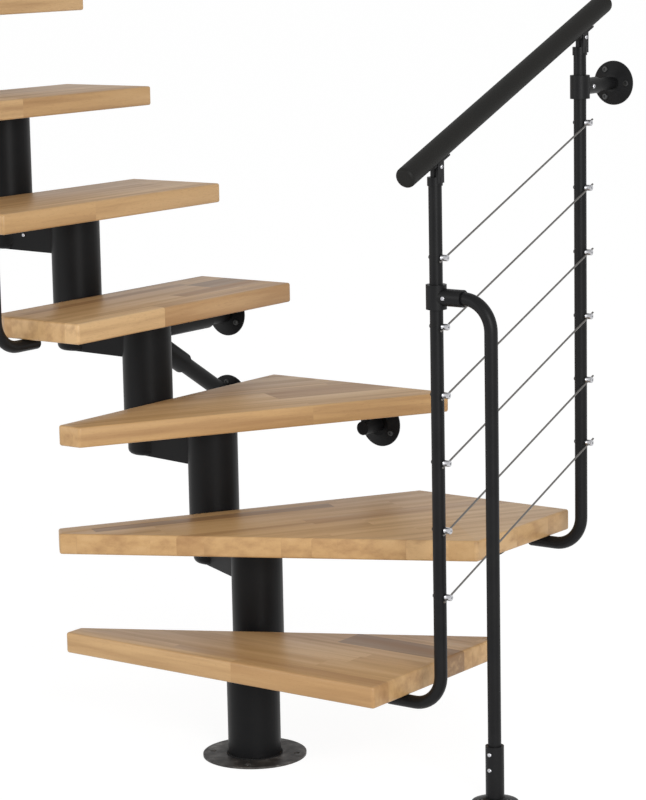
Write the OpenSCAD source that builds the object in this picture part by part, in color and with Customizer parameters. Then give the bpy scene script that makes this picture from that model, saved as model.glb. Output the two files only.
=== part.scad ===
// Modular staircase: a stepped steel spine that carries wooden treads through a
// quarter turn and up a straight flight, with wall arms and a cable railing.
// Millimetres. +Z up, +Y towards the wall, the straight flight climbs towards -X.
// The origin is the centre of the underside of the base flange.

/* [Spine] */
// Height of the first tread above the floor
first_rise = 222; // [190:1:260]
// Height from one tread to the next
rise = 210; // [170:5:240]
// Plan distance from one spine tube to the next
going = 190; // [155:5:230]
// Outer diameter of a spine tube
tube_d = 105; // [85:1:130]
// Wall thickness of a spine tube
tube_wall = 4; // [2:0.5:6]
// Diameter of the cup under the far end of an arm
cup_d = 92; // [60:1:100]
// Height of the spigot above its arm
spigot_h = 80; // [50:5:110]
// Width of the box arm between two tubes
arm_w = 60; // [40:1:75]
// Depth of the arm where it meets its tube
arm_depth = 82; // [70:1:110]
// Depth of the cup at the far end of the arm
cup_depth = 79; // [50:1:90]

/* [Treads] */
// Thickness of a tread
tread_t = 42; // [30:1:55]
// Length of a straight tread
tread_l = 706; // [600:10:870]
// Depth of a straight tread
tread_w = 250; // [220:1:290]
// Distance from the axis of a tube to the front edge of its tread
nosing = 120; // [90:1:140]
// Radius of a tread's upright corners
corner_r = 7; // [2:1:15]
// Distance from the first tube to the outer ends of treads 1 and 2
turn_reach = 377; // [340:1:450]

/* [Floor and wall] */
// Diameter of the base flange
flange_d = 206; // [170:1:250]
// Thickness of the base flange
flange_t = 4; // [3:0.5:8]
// Bolt circle of the base flange
flange_pcd = 168; // [140:1:185]
// Diameter of the bolt holes in the base flange
flange_hole_d = 13; // [8:0.5:16]
// Gap between the straight treads and the wall
wall_gap = 32; // [10:1:60]
// Diameter of the discs that bear on the wall
disc_d = 100; // [80:1:120]
// Diameter of the rosettes of the railing
rosette_d = 88; // [76:1:110]
// Thickness of a disc or rosette at its middle
disc_t = 12; // [8:1:16]

/* [Railing] */
// Diameter of the posts
post_d = 25; // [20:1:32]
// Distance from a tread's end to the axis of its post
post_gap = 72; // [60:1:90]
// Centre-line radius of the bend under the tread
bend_r = 60; // [40:1:66]
// Length of the post's foot that lies under the tread
foot_in = 50; // [30:1:80]
// Height of the ring near the top of a post above the tread
ring_h = 937; // [800:1:1100]
// Height of the handrail's axis above the tread at a post
rail_h = 993; // [850:1:1160]
// Diameter of the handrail
rail_d = 40; // [36:1:48]
// Diameter of the cables
cable_d = 4; // [2:0.5:6]
// Height of the lowest cable above the tread
cable_first = 160; // [100:1:200]
// Distance between two cables
cable_step = 128; // [100:1:150]
// Number of cables
cable_count = 6; // [3:1:7]
// Height of the clamp that ties the first post to the support post, above the floor
tie_h = 949; // [700:1:1100]
// Distance from the first post to the support post
support_gap = 119; // [110:1:160]

/* [Hidden] */
$fn = 64;
fit_gap = 0.3;

flight_first = 4;
tread_count = 9;
turn_angles = [124, 154.8, 173.5];
post_treads = [4, 6, 8];

// Plan direction of arm k, and plan position of tube k
function arm_angle(k) = k < flight_first ? turn_angles[k - 1] : 180;
function tube_xy(k) = k == 1 ? [0, 0]
    : tube_xy(k - 1) + going * [cos(arm_angle(k - 1)), sin(arm_angle(k - 1))];
function tread_top(k) = first_rise + (k - 1) * rise;
function tread_under(k) = tread_top(k) - tread_t;

// Spine
tube_base = flange_t;
stop_t = 6;
bore_d = tube_d - 2 * tube_wall;
spigot_d = bore_d - 2 * fit_gap;
cup_round = 12;

// Straight flight and wall
flight_y = tube_xy(flight_first)[1];
inner_y = flight_y - tread_l / 2;
outer_y = flight_y + tread_l / 2;
wall_y = outer_y + wall_gap;
corner_cut = [51, 30];

// Winder treads
first_inner = 386;
first_end_w = 47;
first_back_angle = 27.3;
kite_apex = tube_xy(2) + [-357, -345.5];
kite_front_angle = 27;
kite_back_angle = 58.8;
kite_end = 97;
kite_wall_gap = 59;
third_back = 134;
third_inner = 330;
third_end_w = 57;
third_front_angle = 60;
third_wall_gap = 17;

// Wall fixings
disc_rim = 3;
disc_hub_d = 50;
rosette_hub_d = 34;
disc_hole_d = 7;
disc_pcd = 70;
rosette_pcd = 62;
arm_axis_drop = 44;
arm_along = 85;
sleeve_d = 47;
rod_d = 36;
rod_shows = 75;
strut_start_y = 76;
strut_angle = 31.6;
strut_sleeve_l = 170;
bracket_rod_d = 30;
bracket_rod_l = 70;
bracket_drop = 46;
bracket_plate = [60, 46, 5];
bracket_web_t = 8;
bracket_2_x = 148;
bracket_3_x = -134;

// Railing
turn_x = turn_reach + post_gap;
post_a_y = 0;
post_b_y = 513;
flight_post_back = 35;
flight_post_y = inner_y - post_gap;
foot_round = 5;
ring_d = 29;
ring_t = 10;
ring_cap_t = 6;
rail_round = 8;
rail_over_low = 100;
rail_over_high = 95;
collar_d = 39;
collar_h = 46;
socket_d = 32.5;
socket_reach = 60;
socket_floor = 25;
support_bend_r = 58;
wall_tie_h = 870;
sleeve_top = 111;
floor_sleeve_d = 35;
nub_d = 12;
nub_l = 14;
cable_tail = 16;
bracket_lug_t = 8;
bracket_lug_w = 18;
cheek_t = 5;
cheek_w = 20;
cheek_off = post_d / 2 - 3.5;
saddle_t = 3;
saddle_l = 54;
saddle_w = 26;

function flight_post_x(k) = tube_xy(k)[0] - flight_post_back;
turn_run = post_b_y - post_a_y;
turn_slope = atan2(rise, turn_run);
flight_slope = atan2(rise, going);

steel = [0.14, 0.14, 0.15];
wood = [0.78, 0.6, 0.4];
chrome = [0.8, 0.81, 0.83];
worn = [0.24, 0.23, 0.22];

// ---- Small shared shapes ----

// Disc with a low cone and three screw holes: it bears on z = 0 and faces +Z
module wall_disc(d, hub_d, pcd, turn) {
    difference() {
        rotate_extrude() polygon([
            [0, 0], [d / 2, 0], [d / 2, disc_rim], [hub_d / 2, disc_t], [0, disc_t]
        ]);
        for (i = [0 : 2])
            rotate(turn + 120 * i) translate([pcd / 2, 0, -1])
                cylinder(d = disc_hole_d, h = disc_t + 2);
    }
}

// Turns a shape that stands on z = 0 so that it stands on the wall at x, z
module on_wall(x, z) {
    translate([x, wall_y, z]) rotate([90, 0, 0]) children();
}

// Round bar from z = 0 to l with a rounded top edge
module capped_bar(d, l, r) {
    rotate_extrude() union() {
        square([d / 2, l - r]);
        square([d / 2 - r, l]);
        translate([d / 2 - r, l - r]) intersection() {
            circle(r);
            square(r);
        }
    }
}

// Quarter bend of a bar from [r, 0] upright to [0, r] level, about the origin
module quarter_bend(d, r) {
    rotate([90, 0, 0]) rotate_extrude(angle = 90) translate([r, 0]) circle(d = d);
}

// Collar round an upright post with a socket arm along +X
module tee_clamp() {
    difference() {
        union() {
            translate([0, 0, -collar_h / 2]) cylinder(d = collar_d, h = collar_h);
            rotate([0, 90, 0]) cylinder(d = socket_d, h = socket_reach);
        }
        translate([0, 0, -collar_h]) cylinder(d = post_d + 2 * fit_gap, h = 2 * collar_h);
        translate([socket_floor, 0, 0]) rotate([0, 90, 0])
            cylinder(d = post_d + 2 * fit_gap, h = socket_reach);
    }
}

// ---- Spine ----

module base_flange() {
    color(worn) difference() {
        cylinder(d = flange_d, h = flange_t);
        for (i = [0 : 3])
            rotate(28 + 90 * i) translate([flange_pcd / 2, 0, -1])
                cylinder(d = flange_hole_d, h = flange_t + 2);
    }
}

module spine_tube(bottom, top) {
    difference() {
        translate([0, 0, bottom]) cylinder(d = tube_d, h = top - bottom);
        translate([0, 0, bottom - 1]) cylinder(d = bore_d, h = top - bottom + 1 - stop_t);
    }
}

// Ring inside a tube on which the spigot below comes to rest
module spigot_stop() {
    difference() {
        cylinder(d = bore_d + tube_wall, h = stop_t);
        translate([0, 0, -1]) cylinder(d = bore_d / 2, h = stop_t + 2);
    }
}

// Tube k, its top plate, the arm to the next tube, the cup and its spigot
module spine_module(k) {
    top = tread_under(k);
    bottom = k == 1 ? tube_base : tread_under(k - 1);
    color(steel) translate(tube_xy(k)) {
        spine_tube(bottom, top);
        if (k > 1) translate([0, 0, bottom + spigot_h]) spigot_stop();
        difference() {
            rotate(arm_angle(k)) translate([0, arm_w / 2, top]) rotate([90, 0, 0]) linear_extrude(arm_w)
                polygon([[0, 0], [0, -arm_depth], [going, -cup_depth], [going, 0]]);
            translate([0, 0, bottom]) cylinder(d = tube_d - tube_wall, h = top - bottom + 1);
        }
        rotate(arm_angle(k)) translate([going, 0, top]) {
            cylinder(d = spigot_d, h = spigot_h);
            translate([0, 0, spigot_h / 2]) mirror([0, 0, 1])
                capped_bar(cup_d, cup_depth + spigot_h / 2, cup_round);
        }
    }
}

// ---- Treads ----

function first_outline() =
    let (length = first_inner + turn_reach, back = -nosing + first_end_w)
    [[-first_inner, back], [-first_inner, -nosing], [turn_reach, -nosing],
     [turn_reach, back + length * tan(first_back_angle)]];

function kite_outline() =
    let (half = (kite_back_angle - kite_front_angle) / 2,
         side = kite_end / cos(half),
         back_y = wall_y - kite_wall_gap,
         near = [cos(kite_front_angle), sin(kite_front_angle)],
         far = [cos(kite_back_angle), sin(kite_back_angle)])
    [kite_apex + side * far, kite_apex + side * near,
     kite_apex + near * (turn_reach - kite_apex[0]) / near[0],
     [turn_reach, back_y],
     kite_apex + far * (back_y - kite_apex[1]) / far[1]];

function third_outline() =
    let (back = tube_xy(3)[0] - third_back,
         inner = tube_xy(3)[1] - third_inner,
         outer = wall_y - third_wall_gap)
    [[back, outer], [back, inner], [back + third_end_w, inner],
     [back + third_end_w + (outer - inner) / tan(third_front_angle), outer]];

function straight_outline(k) =
    let (front = tube_xy(k)[0] + nosing, back = front - tread_w)
    [[front, inner_y], [front, outer_y], [back, outer_y],
     [back, inner_y + corner_cut[1]], [back + corner_cut[0], inner_y]];

function tread_outline(k) = k == 1 ? first_outline()
    : k == 2 ? kite_outline()
    : k == 3 ? third_outline()
    : straight_outline(k);

module tread(k) {
    color(wood) translate([0, 0, tread_under(k)]) linear_extrude(tread_t)
        offset(r = corner_r, $fn = 32) offset(delta = -corner_r) polygon(tread_outline(k));
}

// ---- Wall fixings ----

arm_4_x = tube_xy(4)[0] - arm_along;
arm_4_z = tread_under(4) - arm_axis_drop;
arm_side_y = flight_y + arm_w / 2;

// Stepped bar: a sleeve and the thinner rod that leaves it, from z = 0 to l
module stepped_bar(l, sleeve_l) {
    cylinder(d = sleeve_d, h = sleeve_l);
    cylinder(d = rod_d, h = l);
}

module wall_arm() {
    length = wall_y - arm_side_y - fit_gap;
    color(steel) {
        translate([arm_4_x, arm_side_y + fit_gap, arm_4_z]) rotate([-90, 0, 0])
            stepped_bar(length - disc_t / 2, length - rod_shows);
        on_wall(arm_4_x, arm_4_z) wall_disc(disc_d, disc_hub_d, disc_pcd, 90);
    }
}

module wall_strut() {
    start_y = flight_y + strut_start_y;
    run = wall_y - start_y;
    foot_z = arm_4_z - run * tan(strut_angle);
    color(steel) {
        difference() {
            translate([arm_4_x, start_y, arm_4_z]) rotate([-90 - strut_angle, 0, 0])
                stepped_bar(run / cos(strut_angle) + rod_d, strut_sleeve_l);
            translate([arm_4_x, flight_y, arm_4_z]) rotate([-90, 0, 0])
                cylinder(d = sleeve_d + 2 * fit_gap, h = wall_y - flight_y);
            translate([arm_4_x - sleeve_d, wall_y - disc_rim, foot_z - 2 * sleeve_d])
                cube([2 * sleeve_d, 2 * sleeve_d, 4 * sleeve_d]);
        }
        on_wall(arm_4_x, foot_z) wall_disc(disc_d, disc_hub_d, disc_pcd, 90);
    }
}

// Short rod to the wall, hung from a plate under the tread
module wall_bracket(k, x) {
    z = tread_under(k) - bracket_drop;
    plate_top = tread_under(k) - fit_gap;
    start_y = wall_y - bracket_rod_l;
    color(steel) {
        translate([x, start_y, z]) rotate([-90, 0, 0])
            cylinder(d = bracket_rod_d, h = bracket_rod_l - disc_rim);
        translate([x - bracket_web_t / 2, start_y, z])
            cube([bracket_web_t, bracket_plate[1] / 2, plate_top - z]);
        translate([x - bracket_plate[0] / 2, start_y - bracket_plate[1] / 2, plate_top - bracket_plate[2]])
            cube(bracket_plate);
        on_wall(x, z) wall_disc(disc_d, disc_hub_d, disc_pcd, 90);
    }
}

// ---- Railing ----

// Bent post: its foot lies along -X under tread k, its top reaches above the ring
module rail_post(k) {
    foot_z = tread_under(k) - post_d / 2 - fit_gap;
    top_z = tread_top(k) + ring_h + ring_t / 2;
    foot_l = post_gap + foot_in - bend_r;
    color(steel) {
        translate([0, 0, foot_z + bend_r]) cylinder(d = post_d, h = top_z - foot_z - bend_r);
        translate([-bend_r, 0, foot_z + bend_r]) mirror([0, 0, 1]) quarter_bend(post_d, bend_r);
        translate([-bend_r, 0, foot_z]) rotate([0, -90, 0]) capped_bar(post_d, foot_l, foot_round);
    }
}

module at_turn_post(y) {
    translate([turn_x, y, 0]) children();
}

module at_flight_post(k) {
    translate([flight_post_x(k), flight_post_y, 0]) rotate(-90) children();
}

support_x = turn_x + support_gap;

module support_post() {
    color(steel) translate([support_x, post_a_y, 0]) {
        translate([0, 0, disc_t + fit_gap])
            cylinder(d = post_d, h = tie_h - support_bend_r - disc_t - fit_gap);
        translate([-support_bend_r, 0, tie_h - support_bend_r]) quarter_bend(post_d, support_bend_r);
        translate([-support_bend_r, 0, tie_h]) rotate([0, -90, 0])
            cylinder(d = post_d, h = support_gap - support_bend_r - socket_floor - fit_gap);
    }
}

module floor_sleeve() {
    color(steel) translate([support_x, post_a_y, disc_t]) difference() {
        cylinder(d = floor_sleeve_d, h = sleeve_top - disc_t);
        translate([0, 0, -1]) cylinder(d = post_d + 2 * fit_gap, h = sleeve_top);
    }
}

module foot_flange() {
    color(steel) translate([support_x, post_a_y, 0])
        wall_disc(rosette_d, floor_sleeve_d + 2, rosette_pcd, 0);
}

module post_clamp() {
    color(steel) at_turn_post(post_a_y) translate([0, 0, tie_h]) tee_clamp();
}

wall_tie_z = tread_top(2) + wall_tie_h;

module wall_clamp() {
    color(steel) at_turn_post(post_b_y) translate([0, 0, wall_tie_z]) rotate(90) tee_clamp();
}

module wall_rosette() {
    start_y = post_b_y + socket_floor + fit_gap;
    color(steel) {
        translate([turn_x, start_y, wall_tie_z]) rotate([-90, 0, 0])
            cylinder(d = post_d, h = wall_y - disc_rim - start_y);
        on_wall(turn_x, wall_tie_z) wall_disc(rosette_d, rosette_hub_d, rosette_pcd, 0);
    }
}

// Handrail along +X that rises by slope, with its axis through the origin
module handrail(slope, low, high) {
    rotate([0, 90 - slope, 0]) {
        translate([0, 0, -1]) capped_bar(rail_d, high / cos(slope) + 1, rail_round);
        mirror([0, 0, 1]) capped_bar(rail_d, low / cos(slope), rail_round);
    }
}

module turn_handrail() {
    color(steel) at_turn_post(post_a_y) translate([0, 0, tread_top(1) + rail_h]) rotate(90)
        handrail(turn_slope, rail_over_low, turn_run + rail_over_high);
}

module flight_handrail() {
    first = post_treads[0];
    last = post_treads[len(post_treads) - 1];
    run = flight_post_x(first) - flight_post_x(last);
    color(steel) translate([flight_post_x(first), flight_post_y, tread_top(first) + rail_h]) rotate(180)
        handrail(flight_slope, rail_over_low, run + rail_over_high);
}

// Cap and ring on a post, with a cheek at side * Y and a saddle under the rail,
// which rises along +X: the origin is the middle of the ring
module rail_bracket(slope, side) {
    lift = rail_h - ring_h;
    difference() {
        union() {
            translate([0, 0, -ring_t / 2]) cylinder(d = ring_d, h = ring_t + ring_cap_t);
            translate([-bracket_lug_w / 2, -bracket_lug_t / 2, 0])
                cube([bracket_lug_w, bracket_lug_t, lift]);
            translate([-cheek_w / 2, side > 0 ? cheek_off : -cheek_off - cheek_t, 0])
                cube([cheek_w, cheek_t, lift - rail_d / 4]);
            translate([0, 0, lift]) rotate([0, -slope, 0])
                intersection() {
                    rotate([0, 90, 0])
                        cylinder(d = rail_d + 2 * (saddle_t + fit_gap), h = saddle_l, center = true);
                    translate([-saddle_l / 2, -saddle_w / 2, -rail_d])
                        cube([saddle_l, saddle_w, rail_d]);
                }
        }
        translate([0, 0, -ring_t]) cylinder(d = post_d + 2 * fit_gap, h = 1.5 * ring_t);
        translate([0, 0, lift]) rotate([0, 90 - slope, 0])
            cylinder(d = rail_d + 2 * fit_gap, h = 4 * saddle_l, center = true);
    }
}

module turn_rail_brackets() {
    color(steel) for (p = [[post_a_y, 1], [post_b_y, 2]])
        at_turn_post(p[0]) translate([0, 0, tread_top(p[1]) + ring_h]) rotate(90)
            rail_bracket(turn_slope, -1);
}

module flight_rail_brackets() {
    color(steel) for (k = post_treads)
        translate([flight_post_x(k), flight_post_y, tread_top(k) + ring_h]) rotate(180)
            rail_bracket(flight_slope, 1);
}

// ---- Cables ----

function cable_z(k, i) = tread_top(k) + cable_first + cable_step * i;
nub_start = post_d / 2 + fit_gap;
cable_off = nub_start + nub_l / 2;

// Cable along +X that rises by slope over run, with a tail past each end
module cable(slope, run, d) {
    rotate([0, 90 - slope, 0]) translate([0, 0, -cable_tail])
        cylinder(d = d, h = run / cos(slope) + 2 * cable_tail, $fn = 24);
}

// Nub on the +Y side of a post, bored for a cable that rises along +X
module cable_nub(slope) {
    difference() {
        translate([0, nub_start, 0]) rotate([-90, 0, 0]) cylinder(d = nub_d, h = nub_l);
        translate([0, cable_off, 0]) cable(slope, 0, cable_d + 2 * fit_gap);
    }
}

module turn_cables() {
    color(chrome) for (i = [0 : cable_count - 1])
        translate([turn_x + cable_off, post_a_y, cable_z(1, i)]) rotate(90)
            cable(turn_slope, turn_run, cable_d);
}

module turn_cable_clamps() {
    color(chrome) for (p = [[post_a_y, 1], [post_b_y, 2]])
        for (i = [0 : cable_count - 1])
            at_turn_post(p[0]) translate([0, 0, cable_z(p[1], i)]) rotate(90)
                mirror([0, 1, 0]) cable_nub(turn_slope);
}

module flight_cables() {
    first = post_treads[0];
    last = post_treads[len(post_treads) - 1];
    run = flight_post_x(first) - flight_post_x(last);
    color(chrome) for (i = [0 : cable_count - 1])
        translate([flight_post_x(first), flight_post_y - cable_off, cable_z(first, i)]) rotate(180)
            cable(flight_slope, run, cable_d);
}

module flight_cable_clamps() {
    color(chrome) for (k = post_treads)
        for (i = [0 : cable_count - 1])
            translate([flight_post_x(k), flight_post_y, cable_z(k, i)]) rotate(180)
                cable_nub(flight_slope);
}

// ---- Assembly ----

base_flange();
for (k = [1 : tread_count]) {
    spine_module(k);
    tread(k);
}
wall_bracket(2, bracket_2_x);  // wall_bracket_2
wall_bracket(3, bracket_3_x);  // wall_bracket_3
wall_arm();  // wall_arm_4
wall_strut();  // wall_strut_4
at_turn_post(post_a_y) rail_post(1);  // rail_post_a
at_turn_post(post_b_y) rail_post(2);  // rail_post_b
for (k = post_treads)
    at_flight_post(k) rail_post(k);
support_post();
floor_sleeve();
foot_flange();
post_clamp();
wall_clamp();
wall_rosette();
turn_handrail();
flight_handrail();
turn_rail_brackets();
flight_rail_brackets();
turn_cables();
flight_cables();
turn_cable_clamps();
flight_cable_clamps();
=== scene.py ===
import math

import bmesh
import bpy
import numpy as np
from mathutils import Matrix, Vector


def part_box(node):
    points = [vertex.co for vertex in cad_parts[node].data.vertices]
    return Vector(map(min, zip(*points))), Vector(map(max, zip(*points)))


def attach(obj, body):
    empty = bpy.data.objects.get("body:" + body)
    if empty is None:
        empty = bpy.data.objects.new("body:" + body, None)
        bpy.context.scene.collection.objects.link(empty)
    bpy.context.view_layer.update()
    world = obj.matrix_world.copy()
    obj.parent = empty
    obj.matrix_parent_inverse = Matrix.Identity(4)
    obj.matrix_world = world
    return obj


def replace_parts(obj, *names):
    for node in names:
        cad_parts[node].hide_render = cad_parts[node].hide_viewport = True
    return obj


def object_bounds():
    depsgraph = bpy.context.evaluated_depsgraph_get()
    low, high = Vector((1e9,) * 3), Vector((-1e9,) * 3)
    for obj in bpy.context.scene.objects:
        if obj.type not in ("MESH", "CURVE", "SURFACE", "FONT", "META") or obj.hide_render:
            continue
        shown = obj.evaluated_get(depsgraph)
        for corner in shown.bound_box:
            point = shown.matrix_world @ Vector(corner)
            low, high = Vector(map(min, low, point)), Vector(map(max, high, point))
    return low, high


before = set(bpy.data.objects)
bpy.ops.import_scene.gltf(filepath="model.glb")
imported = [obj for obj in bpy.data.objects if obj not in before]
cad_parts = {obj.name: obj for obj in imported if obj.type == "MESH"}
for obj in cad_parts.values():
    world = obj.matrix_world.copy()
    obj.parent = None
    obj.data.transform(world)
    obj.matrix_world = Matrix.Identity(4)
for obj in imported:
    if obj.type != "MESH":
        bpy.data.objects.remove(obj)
cadBox = [list(corner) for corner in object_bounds()]
print("frame loaded:", len(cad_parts), "nodes")

scene = bpy.context.scene
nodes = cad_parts
turnTreads = [1, 2, 3]
flightTreads = [4, 5, 6, 7, 8, 9]
turnPosts = ["rail_post_a", "rail_post_b"]
flightPosts = ["rail_post_4", "rail_post_6", "rail_post_8"]


# Places read from the frame

def middle(low, high):
    return (low + high) / 2


def postAxis(name):
    """Plan centre of an upright post and the height of its top."""
    low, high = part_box(name)
    if name in turnPosts:  # the foot runs off towards -X
        radius = (high[1] - low[1]) / 2
        return Vector((high[0] - radius, middle(low[1], high[1]), high[2])), radius
    radius = (high[0] - low[0]) / 2  # the foot runs off towards +Y
    return Vector((middle(low[0], high[0]), low[1] + radius, high[2])), radius


def looseParts(name):
    """Vertices of each separate solid of a node."""
    bm = bmesh.new()
    bm.from_mesh(nodes[name].data)
    bmesh.ops.remove_doubles(bm, verts=bm.verts, dist=1e-5)
    parts, seen = [], set()
    for start in bm.verts:
        if start in seen:
            continue
        seen.add(start)
        front, part = [start], []
        while front:
            vert = front.pop()
            part.append(vert.co[:])
            for edge in vert.link_edges:
                other = edge.other_vert(vert)
                if other not in seen:
                    seen.add(other)
                    front.append(other)
        parts.append(np.array(part))
    bm.free()
    return parts


def barEnds(points):
    """Centres of the two end faces of a straight bar."""
    centre = points.mean(axis=0)
    along = np.linalg.svd(points - centre, full_matrices=False)[2][0]
    reach = (points - centre) @ along
    return Vector(centre + along * reach.min()), Vector(centre + along * reach.max())


# Node tree helpers

def newNode(tree, kind, **values):
    node = tree.nodes.new(kind)
    for name, value in values.items():
        setattr(node, name, value)
    return node


def link(tree, source, target):
    tree.links.new(source, target)


def geometryTree(name, inputs):
    """A tree with a geometry in and out and the named inputs."""
    tree = bpy.data.node_groups.new(name, "GeometryNodeTree")
    tree.interface.new_socket("Geometry", in_out="INPUT", socket_type="NodeSocketGeometry")
    tree.interface.new_socket("Geometry", in_out="OUTPUT", socket_type="NodeSocketGeometry")
    for label, kind in inputs.items():
        tree.interface.new_socket(label, in_out="INPUT", socket_type="NodeSocket" + kind)
    return tree, newNode(tree, "NodeGroupInput"), newNode(tree, "NodeGroupOutput")


def closeTree(tree, geometry, inside, outside):
    """Realizes the instances, sets the material and ends the tree."""
    realize = newNode(tree, "GeometryNodeRealizeInstances")
    paint = newNode(tree, "GeometryNodeSetMaterial")
    link(tree, geometry, realize.inputs["Geometry"])
    link(tree, realize.outputs["Geometry"], paint.inputs["Geometry"])
    link(tree, inside.outputs["Material"], paint.inputs["Material"])
    link(tree, paint.outputs["Geometry"], outside.inputs["Geometry"])


def grow(name, mesh, tree, values):
    """Runs a geometry tree on a mesh and keeps the result as a plain piece."""
    source = bpy.data.objects.new(name + "Source", mesh)
    scene.collection.objects.link(source)
    modifier = source.modifiers.new("grow", "NODES")
    modifier.node_group = tree
    for socket in tree.interface.items_tree:
        if socket.in_out == "INPUT" and socket.name in values:
            modifier[socket.identifier] = values[socket.name]
    graph = bpy.context.evaluated_depsgraph_get()
    made = bpy.data.meshes.new_from_object(source.evaluated_get(graph), depsgraph=graph)
    source.modifiers.remove(modifier)
    bpy.data.objects.remove(source)
    return addPiece(name, made)


def addPiece(name, mesh):
    mesh.name = name
    piece = bpy.data.objects.new(name, mesh)
    scene.collection.objects.link(piece)
    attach(piece, "root")
    return piece


# Shader groups and materials

def shaderGroup(name, inputs, outputs):
    group = bpy.data.node_groups.new(name, "ShaderNodeTree")
    for label, kind, value in inputs:
        socket = group.interface.new_socket(label, in_out="INPUT", socket_type="NodeSocket" + kind)
        if value is not None:
            socket.default_value = value
    for label, kind in outputs:
        group.interface.new_socket(label, in_out="OUTPUT", socket_type="NodeSocket" + kind)
    return group, newNode(group, "NodeGroupInput"), newNode(group, "NodeGroupOutput")


def math1(tree, operation, first, second=None, third=None):
    node = newNode(tree, "ShaderNodeMath", operation=operation)
    for index, value in enumerate((first, second, third)):
        if value is None:
            continue
        if isinstance(value, (int, float)):
            node.inputs[index].default_value = value
        else:
            link(tree, value, node.inputs[index])
    return node.outputs[0]


def ramp(tree, factor, stops):
    node = newNode(tree, "ShaderNodeValToRGB")
    elements = node.color_ramp.elements
    while len(elements) < len(stops):
        elements.new(0.5)
    for element, (position, colour) in zip(elements, stops):
        element.position = position
        element.color = (*colour, 1) if len(colour) == 3 else (colour[0],) * 3 + (1,)
    link(tree, factor, node.inputs["Fac"])
    return node.outputs["Color"]


def mixColour(tree, factor, first, second, blend="MIX"):
    node = newNode(tree, "ShaderNodeMix", data_type="RGBA", blend_type=blend)
    for socket, value in ((node.inputs[0], factor), (node.inputs[6], first), (node.inputs[7], second)):
        if isinstance(value, (int, float)):
            socket.default_value = value
        elif isinstance(value, tuple):
            socket.default_value = (*value, 1)
        else:
            link(tree, value, socket)
    return node.outputs[2]


def newMaterial(name, **values):
    """A material whose shader's own sockets hold the values."""
    material = bpy.data.materials.new(name)
    material.use_nodes = True
    tree = material.node_tree
    shader = tree.nodes["Principled BSDF"]
    for label, value in values.items():
        shader.inputs[label].default_value = value
    return material, tree, shader


def makeMottle():
    """Slow blotches and fine texture of a coated or worn surface."""
    group, inside, outside = shaderGroup(
        "coatMottle",
        [("Place", "Vector", None), ("Blotch Scale", "Float", 6.0), ("Grit Scale", "Float", 900.0)],
        [("Blotch", "Float"), ("Grit", "Float")],
    )
    blotch = newNode(group, "ShaderNodeTexNoise")
    blotch.inputs["Detail"].default_value = 5
    blotch.inputs["Roughness"].default_value = 0.62
    grit = newNode(group, "ShaderNodeTexNoise")
    grit.inputs["Detail"].default_value = 2
    for noise, label in ((blotch, "Blotch Scale"), (grit, "Grit Scale")):
        link(group, inside.outputs["Place"], noise.inputs["Vector"])
        link(group, inside.outputs[label], noise.inputs["Scale"])
    link(group, blotch.outputs["Fac"], outside.inputs["Blotch"])
    link(group, grit.outputs["Fac"], outside.inputs["Grit"])
    return group


mottleGroup = makeMottle()


def addMottle(tree, blotchScale, gritScale):
    place = newNode(tree, "ShaderNodeTexCoord")
    mottle = newNode(tree, "ShaderNodeGroup", node_tree=mottleGroup)
    link(tree, place.outputs["Object"], mottle.inputs["Place"])
    mottle.inputs["Blotch Scale"].default_value = blotchScale
    mottle.inputs["Grit Scale"].default_value = gritScale
    return mottle


def addBump(tree, shader, height, strength, distance):
    bump = newNode(tree, "ShaderNodeBump")
    bump.inputs["Strength"].default_value = strength
    bump.inputs["Distance"].default_value = distance
    link(tree, height, bump.inputs["Height"])
    link(tree, bump.outputs["Normal"], shader.inputs["Normal"])


def coated(name, dark, light, roughLow, roughHigh, specular, blotchScale=6.0, gritScale=900.0, bump=0.25):
    """A painted or powder-coated steel with soft blotches."""
    material, tree, shader = newMaterial(name, **{"Specular IOR Level": specular})
    mottle = addMottle(tree, blotchScale, gritScale)
    colour = ramp(tree, mottle.outputs["Blotch"], [(0.35, dark), (0.7, light)])
    link(tree, colour, shader.inputs["Base Color"])
    rough = ramp(tree, mottle.outputs["Blotch"], [(0.3, (roughLow,)), (0.7, (roughHigh,))])
    link(tree, rough, shader.inputs["Roughness"])
    addBump(tree, shader, mottle.outputs["Grit"], bump, 0.0002)
    return material


def makeWornSteel():
    material, tree, shader = newMaterial("wornPlate", Metallic=0.35)
    mottle = addMottle(tree, 26.0, 500.0)
    colour = ramp(tree, mottle.outputs["Blotch"], [
        (0.36, (0.022, 0.020, 0.019)), (0.5, (0.045, 0.040, 0.037)),
        (0.6, (0.075, 0.068, 0.062)), (0.7, (0.19, 0.18, 0.17)),
    ])
    link(tree, colour, shader.inputs["Base Color"])
    rough = ramp(tree, mottle.outputs["Blotch"], [(0.4, (0.55,)), (0.7, (0.38,))])
    link(tree, rough, shader.inputs["Roughness"])
    addBump(tree, shader, mottle.outputs["Grit"], 0.35, 0.0003)
    return material


def makeBright(name, colour, roughLow, roughHigh):
    """A bare bright metal."""
    material, tree, shader = newMaterial(name, Metallic=1.0)
    shader.inputs["Base Color"].default_value = (*colour, 1)
    mottle = addMottle(tree, 90.0, 1400.0)
    rough = ramp(tree, mottle.outputs["Blotch"], [(0.35, (roughLow,)), (0.65, (roughHigh,))])
    link(tree, rough, shader.inputs["Roughness"])
    return material


beech = {
    "staveWidth": 0.046,
    "boardLength": 0.52,
    "pale": (0.66, 0.425, 0.205),
    "mid": (0.555, 0.335, 0.145),
    "deep": (0.40, 0.215, 0.085),
    "streak": (0.30, 0.15, 0.058),
    "heart": (0.29, 0.165, 0.075),
    "jointShade": 0.16,
    "roughness": (0.36, 0.5),
}


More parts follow.
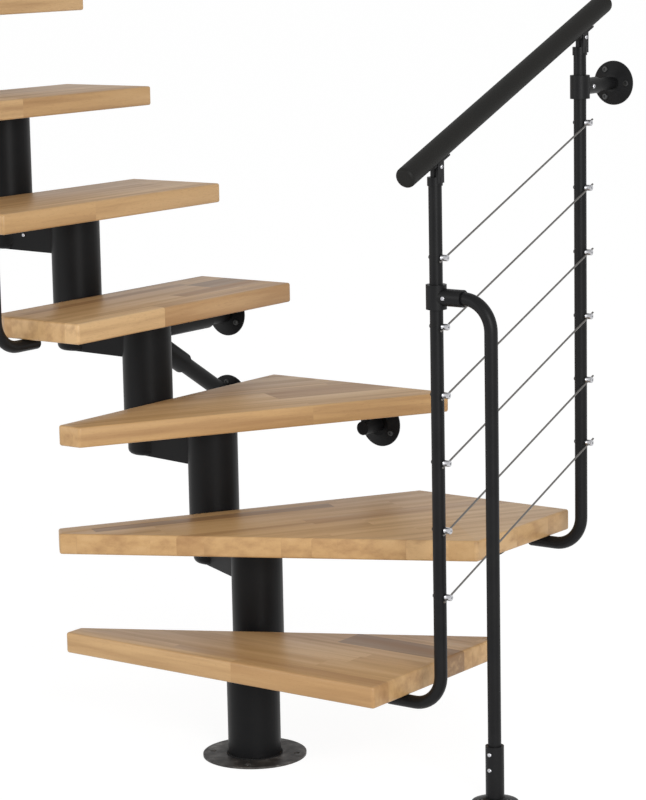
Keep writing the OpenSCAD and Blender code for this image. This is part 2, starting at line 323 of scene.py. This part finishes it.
def makeBeech():
    """Glued staves of beech: x of the place runs along the grain, y across it."""
    group, inside, outside = shaderGroup(
        "staveGrain",
        [("Place", "Vector", None), ("Stave Width", "Float", 0.06), ("Board Length", "Float", 0.5)],
        [("Tone", "Float"), ("Streak", "Float"), ("Fleck", "Float"), ("Joint", "Float")],
    )
    split = newNode(group, "ShaderNodeSeparateXYZ")
    link(group, inside.outputs["Place"], split.inputs[0])
    x, y, z = split.outputs
    even = math1(group, "DIVIDE", y, inside.outputs["Stave Width"])
    lane = math1(group, "MULTIPLY_ADD", math1(group, "SINE", math1(group, "MULTIPLY", even, 1.9)), 0.4, even)
    stave = math1(group, "FLOOR", lane)
    laneNoise = newNode(group, "ShaderNodeTexWhiteNoise", noise_dimensions="1D")
    link(group, stave, laneNoise.inputs["W"])
    shifted = math1(group, "ADD", x, laneNoise.outputs["Value"])
    run = math1(group, "DIVIDE", shifted, inside.outputs["Board Length"])
    board = math1(group, "FLOOR", run)
    boardPlace = newNode(group, "ShaderNodeCombineXYZ")
    link(group, stave, boardPlace.inputs[0])
    link(group, board, boardPlace.inputs[1])
    boardNoise = newNode(group, "ShaderNodeTexWhiteNoise", noise_dimensions="2D")
    link(group, boardPlace.outputs[0], boardNoise.inputs["Vector"])
    link(group, boardNoise.outputs["Value"], outside.inputs["Tone"])

    # long soft streaks, shifted from board to board
    longPlace = newNode(group, "ShaderNodeCombineXYZ")
    link(group, math1(group, "MULTIPLY_ADD", x, 2.2, math1(group, "MULTIPLY", boardNoise.outputs["Value"], 37.0)), longPlace.inputs[0])
    link(group, math1(group, "MULTIPLY", y, 46.0), longPlace.inputs[1])
    link(group, math1(group, "MULTIPLY", z, 46.0), longPlace.inputs[2])
    streak = newNode(group, "ShaderNodeTexNoise")
    streak.inputs["Scale"].default_value = 1.0
    streak.inputs["Detail"].default_value = 4
    streak.inputs["Roughness"].default_value = 0.55
    link(group, longPlace.outputs[0], streak.inputs["Vector"])
    link(group, streak.outputs["Fac"], outside.inputs["Streak"])

    # short dark dashes along the grain
    fleckPlace = newNode(group, "ShaderNodeVectorMath", operation="MULTIPLY")
    fleckPlace.inputs[1].default_value = (90.0, 1100.0, 1100.0)
    link(group, inside.outputs["Place"], fleckPlace.inputs[0])
    fleck = newNode(group, "ShaderNodeTexNoise")
    fleck.inputs["Scale"].default_value = 1.0
    fleck.inputs["Detail"].default_value = 1
    link(group, fleckPlace.outputs[0], fleck.inputs["Vector"])
    link(group, fleck.outputs["Fac"], outside.inputs["Fleck"])

    # hairline between two staves
    inLane = math1(group, "ABSOLUTE", math1(group, "SUBTRACT", math1(group, "FRACT", lane), 0.5))
    link(group, math1(group, "GREATER_THAN", inLane, 0.493), outside.inputs["Joint"])

    material, tree, shader = newMaterial("oiledBeech", **{"Coat Weight": 0.12, "Coat Roughness": 0.3, "Specular IOR Level": 0.4})
    place = newNode(tree, "ShaderNodeAttribute", attribute_name="stavePlace")
    grain = newNode(tree, "ShaderNodeGroup", node_tree=group)
    link(tree, place.outputs["Vector"], grain.inputs["Place"])
    grain.inputs["Stave Width"].default_value = beech["staveWidth"]
    grain.inputs["Board Length"].default_value = beech["boardLength"]
    tone = ramp(tree, grain.outputs["Tone"], [
        (0.05, beech["heart"]), (0.07, beech["deep"]), (0.25, beech["mid"]), (0.6, beech["mid"]), (1.0, beech["pale"]),
    ])
    streakMask = ramp(tree, grain.outputs["Streak"], [(0.47, (0.0,)), (0.72, (0.55,))])
    colour = mixColour(tree, streakMask, tone, beech["streak"])
    paleMask = ramp(tree, grain.outputs["Streak"], [(0.3, (0.45,)), (0.46, (0.0,))])
    colour = mixColour(tree, paleMask, colour, beech["pale"])
    fleckMask = ramp(tree, grain.outputs["Fleck"], [(0.6, (0.0,)), (0.72, (0.3,))])
    colour = mixColour(tree, fleckMask, colour, beech["streak"])
    jointMask = math1(tree, "MULTIPLY", grain.outputs["Joint"], beech["jointShade"])
    colour = mixColour(tree, jointMask, colour, beech["streak"])
    link(tree, colour, shader.inputs["Base Color"])
    low, high = beech["roughness"]
    rough = ramp(tree, grain.outputs["Streak"], [(0.3, (low,)), (0.7, (high,))])
    link(tree, rough, shader.inputs["Roughness"])
    addBump(tree, shader, grain.outputs["Fleck"], 0.12, 0.0002)
    return material


spineCoat = coated("spineCoat", (0.0045, 0.0045, 0.005), (0.0075, 0.0075, 0.008), 0.38, 0.48, 0.13, bump=0.3)
postCoat = coated("postCoat", (0.0065, 0.0065, 0.007), (0.010, 0.010, 0.0105), 0.36, 0.46, 0.16, blotchScale=14.0)
railCoat = coated("railCoat", (0.0075, 0.0072, 0.0062), (0.011, 0.0105, 0.009), 0.55, 0.66, 0.2, blotchScale=18.0, gritScale=1400.0)
screwCoat = coated("screwCoat", (0.012, 0.012, 0.012), (0.03, 0.03, 0.03), 0.30, 0.42, 0.5, blotchScale=60.0)
wornPlate = makeWornSteel()
strandSteel = makeBright("strandSteel", (0.20, 0.19, 0.18), 0.30, 0.42)
brightChrome = makeBright("brightChrome", (0.56, 0.56, 0.58), 0.14, 0.24)
oiledBeech = makeBeech()
print("materials ready")


# CAD nodes keep their shape and take these finishes

finishes = {
    "base_flange": wornPlate,
    "spine_module": spineCoat,
    "wall_": spineCoat,
    "rail_post": postCoat,
    "support_post": postCoat,
    "floor_sleeve": postCoat,
    "foot_flange": postCoat,
    "post_clamp": postCoat,
    "wall_clamp": postCoat,
    "wall_rosette": postCoat,
    "turn_handrail": railCoat,
    "flight_handrail": railCoat,
    "turn_rail_brackets": postCoat,
    "flight_rail_brackets": postCoat,
    "tread": oiledBeech,
    "turn_cable": strandSteel,
    "flight_cable": strandSteel,
}


def paintFrame():
    for name, node in nodes.items():
        matches = [key for key in finishes if name.startswith(key)]
        finish = finishes[max(matches, key=len)]
        for slot in node.material_slots:
            slot.material = finish


paintFrame()


# Treads: rounded boards that stand for the square CAD ones

tread = {"edgeRadius": 0.0045, "edgeSteps": 3, "flatAngle": 25.0, "toneShift": 0.37}


def grainDirection(number):
    """Plan direction of the staves: along the front edge, or the back edge of the kite."""
    corners = [vert.co for vert in nodes["tread_%d" % number].data.vertices]
    if number == 1:
        return Vector((1, 0, 0))
    if number == 2:
        start, end = min(corners, key=lambda c: c.x), max(corners, key=lambda c: c.y - c.x)
    elif number == 3:
        start, end = min(corners, key=lambda c: c.y - c.x), max(corners, key=lambda c: c.x + c.y)
    else:
        return Vector((0, 1, 0))
    return Vector((end.x - start.x, end.y - start.y, 0)).normalized()


def roundedBoard(number):
    name = "tread_%d" % number
    bm = bmesh.new()
    bm.from_mesh(nodes[name].data)
    bmesh.ops.remove_doubles(bm, verts=bm.verts, dist=1e-5)
    bmesh.ops.dissolve_limit(bm, angle_limit=math.radians(1), verts=bm.verts, edges=bm.edges)
    rims = [edge for edge in bm.edges if len(edge.link_faces) == 2 and edge.calc_face_angle() > math.radians(tread["flatAngle"])]
    bmesh.ops.bevel(bm, geom=rims, offset=tread["edgeRadius"], segments=tread["edgeSteps"], profile=0.5, affect="EDGES", clamp_overlap=True)
    bmesh.ops.triangulate(bm, faces=bm.faces)
    mesh = bpy.data.meshes.new(name + "_board")
    bm.to_mesh(mesh)
    bm.free()
    mesh.shade_smooth()
    mesh.set_sharp_from_angle(angle=math.radians(32))
    along = grainDirection(number)
    across = Vector((-along.y, along.x, 0))
    place = mesh.attributes.new("stavePlace", "FLOAT_VECTOR", "POINT")
    for index, vert in enumerate(mesh.vertices):
        spot = vert.co
        place.data[index].vector = (spot.dot(along) + number * tread["toneShift"], spot.dot(across) + number * 0.7, spot.z)
    mesh.materials.clear()
    mesh.materials.append(oiledBeech)
    board = addPiece(name + "_board", mesh)
    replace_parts(board, name)


for number in turnTreads + flightTreads:
    roundedBoard(number)
print("treads ready")


# Cables: a six-strand rope swept along each centre line

rope = {"strands": 6, "lay": 0.028, "groove": 0.24, "step": 0.0018, "profilePoints": 24}


def makeRopeTree():
    tree, inside, outside = geometryTree("ropeSweep", {"Radius": "Float", "Lay": "Float", "Step": "Float", "Groove": "Float", "Strands": "Float", "Profile Points": "Int", "Material": "Material"})
    curve = newNode(tree, "GeometryNodeMeshToCurve")
    link(tree, inside.outputs["Geometry"], curve.inputs["Mesh"])
    resample = newNode(tree, "GeometryNodeResampleCurve", mode="LENGTH")
    link(tree, curve.outputs[0], resample.inputs["Curve"])
    link(tree, inside.outputs["Step"], resample.inputs["Length"])
    along = newNode(tree, "GeometryNodeSplineParameter")
    turns = math1(tree, "DIVIDE", along.outputs["Length"], inside.outputs["Lay"])
    tilt = newNode(tree, "GeometryNodeSetCurveTilt")
    link(tree, resample.outputs[0], tilt.inputs["Curve"])
    link(tree, math1(tree, "MULTIPLY", turns, math.tau), tilt.inputs["Tilt"])

    ring = newNode(tree, "GeometryNodeCurvePrimitiveCircle", mode="RADIUS")
    link(tree, inside.outputs["Profile Points"], ring.inputs["Resolution"])
    link(tree, inside.outputs["Radius"], ring.inputs["Radius"])
    place = newNode(tree, "GeometryNodeInputPosition")
    split = newNode(tree, "ShaderNodeSeparateXYZ")
    link(tree, place.outputs[0], split.inputs[0])
    turn = math1(tree, "ARCTAN2", split.outputs[1], split.outputs[0])
    lobe = math1(tree, "ABSOLUTE", math1(tree, "SINE", math1(tree, "MULTIPLY", turn, math1(tree, "MULTIPLY", inside.outputs["Strands"], 0.5))))
    shrink = math1(tree, "MULTIPLY", math1(tree, "SUBTRACT", 1.0, lobe), inside.outputs["Groove"])
    scale = newNode(tree, "ShaderNodeVectorMath", operation="SCALE")
    link(tree, place.outputs[0], scale.inputs[0])
    link(tree, math1(tree, "SUBTRACT", 1.0, shrink), scale.inputs["Scale"])
    shape = newNode(tree, "GeometryNodeSetPosition")
    link(tree, ring.outputs[0], shape.inputs["Geometry"])
    link(tree, scale.outputs[0], shape.inputs["Position"])

    sweep = newNode(tree, "GeometryNodeCurveToMesh")
    link(tree, tilt.outputs[0], sweep.inputs["Curve"])
    link(tree, shape.outputs[0], sweep.inputs["Profile Curve"])
    sweep.inputs["Fill Caps"].default_value = True
    closeTree(tree, sweep.outputs[0], inside, outside)
    return tree


ropeTree = makeRopeTree()


def layRopes(node):
    lines = [barEnds(points) for points in looseParts(node)]
    low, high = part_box(node)
    thickness = min(high[0] - low[0], high[1] - low[1])
    mesh = bpy.data.meshes.new(node + "Lines")
    verts = [end for line in lines for end in line]
    mesh.from_pydata(verts, [(2 * i, 2 * i + 1) for i in range(len(lines))], [])
    values = {"Radius": thickness / 2, "Lay": rope["lay"], "Step": rope["step"], "Groove": rope["groove"],
              "Strands": float(rope["strands"]), "Profile Points": rope["profilePoints"], "Material": strandSteel}
    piece = grow(node + "_rope", mesh, ropeTree, values)
    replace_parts(piece, node)


for node in ("turn_cables", "flight_cables"):
    layRopes(node)
print("cables ready")


# Turned shapes that the trees repeat: each stands on z = 0 and faces +Z

def turnedShape(name, outline, sides=24, socket=None):
    """A closed turned solid. socket is (width, depth) of a hexagon recess in its top."""
    bm = bmesh.new()
    rings = []
    for radius, height in outline:
        rings.append([bm.verts.new((radius * math.cos(math.tau * i / sides), radius * math.sin(math.tau * i / sides), height)) for i in range(sides)])
    if socket:
        width, depth = socket
        top = outline[-1][1]
        for height in (top, top - depth):
            ring = []
            for i in range(sides):
                turn = math.tau * i / sides
                reach = width / 2 / math.cos((turn + math.pi / 6) % (math.pi / 3) - math.pi / 6)
                ring.append(bm.verts.new((reach * math.cos(turn), reach * math.sin(turn), height)))
            rings.append(ring)
    for lower, upper in zip(rings, rings[1:]):
        for i in range(sides):
            j = (i + 1) % sides
            bm.faces.new((lower[i], lower[j], upper[j], upper[i]))
    bm.faces.new(rings[0][::-1])
    bm.faces.new(rings[-1])
    mesh = bpy.data.meshes.new(name)
    bm.to_mesh(mesh)
    bm.free()
    mesh.shade_smooth()
    mesh.set_sharp_from_angle(angle=math.radians(35))
    shape = bpy.data.objects.new(name, mesh)
    scene.collection.objects.link(shape)
    return shape


def makeRepeatTree():
    """Puts the shape on every point, turned so that it faces along the point's own direction."""
    tree, inside, outside = geometryTree("repeatAlongFacing", {"Shape": "Object", "Seed": "Int", "Material": "Material"})
    info = newNode(tree, "GeometryNodeObjectInfo", transform_space="ORIGINAL")
    link(tree, inside.outputs["Shape"], info.inputs["Object"])
    facing = newNode(tree, "GeometryNodeInputNamedAttribute", data_type="FLOAT_VECTOR")
    facing.inputs["Name"].default_value = "facing"
    spin = newNode(tree, "FunctionNodeRandomValue", data_type="FLOAT")
    spin.inputs["Max"].default_value = math.tau
    link(tree, inside.outputs["Seed"], spin.inputs["Seed"])
    turned = newNode(tree, "ShaderNodeCombineXYZ")
    link(tree, spin.outputs["Value"], turned.inputs[2])
    start = newNode(tree, "FunctionNodeEulerToRotation")
    link(tree, turned.outputs[0], start.inputs[0])
    align = newNode(tree, "FunctionNodeAlignRotationToVector", axis="Z")
    link(tree, start.outputs[0], align.inputs["Rotation"])
    link(tree, facing.outputs[0], align.inputs["Vector"])
    points = newNode(tree, "GeometryNodeInstanceOnPoints")
    link(tree, inside.outputs["Geometry"], points.inputs["Points"])
    link(tree, info.outputs["Geometry"], points.inputs["Instance"])
    link(tree, align.outputs[0], points.inputs["Rotation"])
    closeTree(tree, points.outputs[0], inside, outside)
    return tree


repeatTree = makeRepeatTree()


def repeatShape(name, shape, places, material, seed=1):
    """places is a list of (point, direction)."""
    mesh = bpy.data.meshes.new(name + "Points")
    mesh.from_pydata([point for point, _ in places], [], [])
    facing = mesh.attributes.new("facing", "FLOAT_VECTOR", "POINT")
    for index, (_, direction) in enumerate(places):
        facing.data[index].vector = direction
    return grow(name, mesh, repeatTree, {"Shape": shape, "Seed": seed, "Material": material})


# Cable nubs: rounded chrome barrels with a set screw in the outer end

nub = {"radius": 0.006, "length": 0.014, "edge": 0.0015, "socket": (0.0032, 0.0025)}


def addNubs():
    r, length, edge = nub["radius"], nub["length"], nub["edge"]
    outline = [(r - edge / 2, 0), (r, edge / 2), (r, length - edge), (r - 0.3 * edge, length - 0.3 * edge), (r - edge, length)]
    shape = turnedShape("nubShape", outline, socket=nub["socket"])
    for node, direction in (("turn_cable_clamps", Vector((1, 0, 0))), ("flight_cable_clamps", Vector((0, -1, 0)))):
        places = []
        for points in looseParts(node):
            centre = Vector(middle(points.min(axis=0), points.max(axis=0)))
            places.append((centre - direction * length / 2, direction))
        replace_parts(repeatShape(node + "_turned", shape, places, brightChrome), node)
    bpy.data.objects.remove(shape)


addNubs()
print("cable nubs ready")


# Screws

wallScrew = {"radius": 0.0062, "height": 0.0034, "seat": 0.0024, "socket": (0.005, 0.002)}
setScrew = {"radius": 0.0042, "height": 0.0024, "seat": 0.0012, "socket": (0.0036, 0.0018)}
wallDiscs = {
    "nodes": ["wall_bracket_2", "wall_bracket_3", "wall_arm_4", "wall_strut_4"],
    "radius": 0.050, "screwCircle": 0.035, "faceHeight": 0.0084, "firstTurn": 90.0,
}
rosettes = {"radius": 0.044, "screwCircle": 0.031, "faceHeight": 0.0073, "firstTurn": 0.0}


def screwShape(name, sizes):
    r, height = sizes["radius"], sizes["height"] + sizes["seat"]
    outline = [(r, 0), (r, height * 0.55), (r * 0.93, height * 0.82), (r * 0.78, height)]
    return turnedShape(name, outline, socket=sizes["socket"])


def wallScrewPlaces():
    places = []
    toRoom = Vector((0, -1, 0))

    def addCircle(x, z, wallY, sizes):
        for i in range(3):
            turn = math.radians(sizes["firstTurn"] + 120 * i)
            spot = Vector((x + sizes["screwCircle"] * math.cos(turn), wallY, z + sizes["screwCircle"] * math.sin(turn)))
            places.append((spot + toRoom * (sizes["faceHeight"] - wallScrew["seat"]), toRoom))

    for name in wallDiscs["nodes"]:
        low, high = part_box(name)
        addCircle(middle(low[0], high[0]), low[2] + wallDiscs["radius"], high[1], wallDiscs)
    low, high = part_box("wall_rosette")
    addCircle(middle(low[0], high[0]), middle(low[2], high[2]), high[1], rosettes)
    low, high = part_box("foot_flange")
    for i in range(3):
        turn = math.radians(rosettes["firstTurn"] + 120 * i)
        spot = Vector((middle(low[0], high[0]) + rosettes["screwCircle"] * math.cos(turn),
                       middle(low[1], high[1]) + rosettes["screwCircle"] * math.sin(turn),
                       low[2] + rosettes["faceHeight"] - wallScrew["seat"]))
        places.append((spot, Vector((0, 0, 1))))
    return places


clampScrews = {"alongArm": 0.025, "armRadius": 0.01625, "sleeveDrop": 0.014, "sleeveGap": 0.030, "armPlace": 0.80, "armDrop": 0.046}
bracketScrews = {"ringDrop": 0.005, "rise": 0.030, "cheekOut": 0.014}


plug = {"radius": 0.0045, "height": 0.0030}


def plugPlaces():
    """The far end of each nub's screw, opposite the nub."""
    places = []
    for node, direction, posts in (("turn_cable_clamps", Vector((-1, 0, 0)), turnPosts), ("flight_cable_clamps", Vector((0, 1, 0)), flightPosts)):
        axes = [postAxis(name) for name in posts]
        for points in looseParts(node):
            centre = Vector(middle(points.min(axis=0), points.max(axis=0)))
            axis, radius = min(axes, key=lambda item: (item[0].xy - centre.xy).length)
            places.append((Vector((axis.x, axis.y, centre.z)) + direction * (radius - 0.0008), direction))
    return places


def setScrewPlaces():
    places = []
    seat = setScrew["seat"]
    toX, toRoom = Vector((1, 0, 0)), Vector((0, -1, 0))

    def put(spot, direction):
        places.append((Vector(spot) - direction * seat, direction))

    postA, radius = postAxis("rail_post_a")
    low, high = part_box("post_clamp")
    put((postA.x + clampScrews["alongArm"], postA.y - clampScrews["armRadius"], middle(low[2], high[2])), toRoom)
    postB, radius = postAxis("rail_post_b")
    low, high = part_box("wall_clamp")
    put((postB.x + clampScrews["armRadius"], postB.y + clampScrews["alongArm"], middle(low[2], high[2])), toX)
    low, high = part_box("floor_sleeve")
    for step in (0, 1):
        put((middle(low[0], high[0]), low[1], high[2] - clampScrews["sleeveDrop"] - step * clampScrews["sleeveGap"]), toRoom)
    for name in turnPosts:
        axis, radius = postAxis(name)
        put((axis.x + bracketScrews["cheekOut"], axis.y, axis.z - bracketScrews["ringDrop"] + bracketScrews["rise"]), toX)
    for name in flightPosts:
        axis, radius = postAxis(name)
        put((axis.x, axis.y - bracketScrews["cheekOut"], axis.z - bracketScrews["ringDrop"] + bracketScrews["rise"]), toRoom)
    return places


def armScrewPlaces():
    """One screw in the open side of each straight arm, beside the cup."""
    places = []
    for number in flightTreads[:-1]:
        low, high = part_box("spine_module_%d" % number)
        nextLow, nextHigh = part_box("spine_module_%d" % (number + 1))
        tubeRadius = (high[1] - low[1]) / 2
        tube, nextTube = high[0] - tubeRadius, nextHigh[0] - tubeRadius
        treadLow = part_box("tread_%d" % number)[0]
        x = tube + (nextTube - tube) * clampScrews["armPlace"] * 0.8
        y = middle(low[1], high[1]) - 0.030
        places.append((Vector((x, y + setScrew["seat"], treadLow[2] - clampScrews["armDrop"])), Vector((0, -1, 0))))
    return places


def addScrews():
    dark = screwShape("wallScrewShape", wallScrew)
    repeatShape("wall_and_floor_screws", dark, wallScrewPlaces(), screwCoat, seed=4)
    bright = screwShape("setScrewShape", setScrew)
    repeatShape("set_screws", bright, setScrewPlaces(), brightChrome, seed=7)
    repeatShape("arm_screws", bright, armScrewPlaces(), brightChrome, seed=9)
    r, height = plug["radius"], plug["height"]
    dome = turnedShape("plugShape", [(r, 0), (r, height * 0.5), (r * 0.86, height * 0.85), (r * 0.5, height)], sides=16)
    repeatShape("nub_screw_ends", dome, plugPlaces(), screwCoat, seed=2)
    for shape in (dark, bright, dome):
        bpy.data.objects.remove(shape)


addScrews()
print("screws ready")


# Weld bead round the foot of the first tube

bead = {"size": 0.0032, "ripple": 0.22, "ripples": 64, "steps": 256, "profilePoints": 10}


def makeBeadTree():
    tree, inside, outside = geometryTree("beadSweep", {"Ring Radius": "Float", "Size": "Float", "Ripple": "Float", "Ripples": "Float", "Steps": "Int", "Profile Points": "Int", "Material": "Material"})
    ring = newNode(tree, "GeometryNodeCurvePrimitiveCircle", mode="RADIUS")
    link(tree, inside.outputs["Steps"], ring.inputs["Resolution"])
    link(tree, inside.outputs["Ring Radius"], ring.inputs["Radius"])
    along = newNode(tree, "GeometryNodeSplineParameter")
    wave = math1(tree, "SINE", math1(tree, "MULTIPLY", math1(tree, "MULTIPLY", along.outputs["Factor"], math.tau), inside.outputs["Ripples"]))
    thick = newNode(tree, "GeometryNodeSetCurveRadius")
    link(tree, ring.outputs[0], thick.inputs["Curve"])
    link(tree, math1(tree, "MULTIPLY_ADD", wave, inside.outputs["Ripple"], 1.0), thick.inputs["Radius"])
    profile = newNode(tree, "GeometryNodeCurvePrimitiveCircle", mode="RADIUS")
    link(tree, inside.outputs["Profile Points"], profile.inputs["Resolution"])
    link(tree, inside.outputs["Size"], profile.inputs["Radius"])
    sweep = newNode(tree, "GeometryNodeCurveToMesh")
    link(tree, thick.outputs[0], sweep.inputs["Curve"])
    link(tree, profile.outputs[0], sweep.inputs["Profile Curve"])
    if "Scale" in sweep.inputs:
        radius = newNode(tree, "GeometryNodeInputRadius")
        link(tree, radius.outputs[0], sweep.inputs["Scale"])
    closeTree(tree, sweep.outputs[0], inside, outside)
    return tree


def addBead():
    flangeLow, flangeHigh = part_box("base_flange")
    tubeLow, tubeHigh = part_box("spine_module_1")
    tubeRadius = abs(tubeLow[1])
    mesh = bpy.data.meshes.new("beadPoint")
    values = {"Ring Radius": tubeRadius, "Size": bead["size"], "Ripple": bead["ripple"], "Ripples": float(bead["ripples"]),
              "Steps": bead["steps"], "Profile Points": bead["profilePoints"], "Material": spineCoat}
    piece = grow("base_weld", mesh, makeBeadTree(), values)
    piece.data.transform(Matrix.Translation((0, 0, flangeHigh[2])))
    piece.data.shade_smooth()


addBead()
print("weld ready")


# Floor, light and camera

stage = {"floorSize": 300.0, "floorDrop": 0.0006, "floorColour": (0.86, 0.86, 0.86), "floorGlow": 0.82, "glowStrength": 1.12}
light = {"worldLevel": 0.50, "keyPower": 230.0, "keySize": (2.2, 3.2), "keyPlace": (4.9, -3.6, 2.6),
         "fillPower": 60.0, "fillSize": (2.5, 2.5), "fillPlace": (-3.2, -4.6, 2.2), "target": (-0.2, 0.1, 1.0)}
camera = {"azimuth": 36.379, "pitch": 9.992, "roll": -1.112, "lens": 125.65, "place": (3.2997, -4.2274, 1.6576)}


def showRays(tree):
    """1 for camera, glossy and transmission rays, 0 for the rest."""
    path = newNode(tree, "ShaderNodeLightPath")
    first = math1(tree, "MAXIMUM", path.outputs["Is Camera Ray"], path.outputs["Is Glossy Ray"])
    return math1(tree, "MAXIMUM", first, path.outputs["Is Transmission Ray"])


def addFloor():
    half = stage["floorSize"] / 2
    mesh = bpy.data.meshes.new("floor")
    z = cadBox[0][2] - stage["floorDrop"]
    mesh.from_pydata([(-half, -half, z), (half, -half, z), (half, half, z), (-half, half, z)], [], [(0, 1, 2, 3)])
    floor = bpy.data.objects.new("floor", mesh)
    scene.collection.objects.link(floor)
    material = bpy.data.materials.new("paleFloor")
    material.use_nodes = True
    tree = material.node_tree
    tree.nodes.remove(tree.nodes["Principled BSDF"])
    matt = newNode(tree, "ShaderNodeBsdfDiffuse")
    matt.inputs["Color"].default_value = (*stage["floorColour"], 1)
    glow = newNode(tree, "ShaderNodeEmission")
    glow.inputs["Strength"].default_value = stage["glowStrength"]
    mix = newNode(tree, "ShaderNodeMixShader")
    link(tree, math1(tree, "MULTIPLY", showRays(tree), stage["floorGlow"]), mix.inputs[0])
    link(tree, matt.outputs[0], mix.inputs[1])
    link(tree, glow.outputs[0], mix.inputs[2])
    link(tree, mix.outputs[0], tree.nodes["Material Output"].inputs["Surface"])
    mesh.materials.append(material)


def addWorld():
    world = bpy.data.worlds.new("studio")
    scene.world = world
    world.use_nodes = True
    tree = world.node_tree
    lit = tree.nodes["Background"]
    lit.inputs["Color"].default_value = (1, 1, 1, 1)
    lit.inputs["Strength"].default_value = light["worldLevel"]
    seen = newNode(tree, "ShaderNodeBackground")
    mix = newNode(tree, "ShaderNodeMixShader")
    link(tree, showRays(tree), mix.inputs[0])
    link(tree, lit.outputs[0], mix.inputs[1])
    link(tree, seen.outputs[0], mix.inputs[2])
    link(tree, mix.outputs[0], tree.nodes["World Output"].inputs["Surface"])


def addLamp(name, place, size, power):
    lamp = bpy.data.lights.new(name, "AREA")
    lamp.shape = "RECTANGLE"
    lamp.size, lamp.size_y = size
    lamp.energy = power
    holder = bpy.data.objects.new(name, lamp)
    scene.collection.objects.link(holder)
    aim = Vector(light["target"]) - Vector(place)
    holder.matrix_world = Matrix.Translation(place) @ aim.to_track_quat("-Z", "Y").to_matrix().to_4x4()
    holder.visible_camera = False


def addCamera():
    a, q, r = (math.radians(camera[name]) for name in ("azimuth", "pitch", "roll"))
    ahead = Vector((-math.sin(a) * math.cos(q), math.cos(a) * math.cos(q), -math.sin(q)))
    right = Vector((math.cos(a), math.sin(a), 0))
    up = Vector((-math.sin(a) * math.sin(q), math.cos(a) * math.sin(q), math.cos(q)))
    right, up = math.cos(r) * right + math.sin(r) * up, math.cos(r) * up - math.sin(r) * right
    lens = bpy.data.cameras.new("camera")
    lens.lens = camera["lens"]
    lens.sensor_width = 36.0
    lens.clip_end = 1000.0
    eye = bpy.data.objects.new("camera", lens)
    scene.collection.objects.link(eye)
    turn = Matrix((right, up, -ahead)).transposed().to_4x4()
    eye.matrix_world = Matrix.Translation(camera["place"]) @ turn
    scene.camera = eye


addFloor()
addWorld()
addLamp("keyLight", light["keyPlace"], light["keySize"], light["keyPower"])
addLamp("fillLight", light["fillPlace"], light["fillSize"], light["fillPower"])
addCamera()
bpy.context.scene.camera = scene.camera
scene.view_settings.view_transform = "Standard"
print("stage ready")
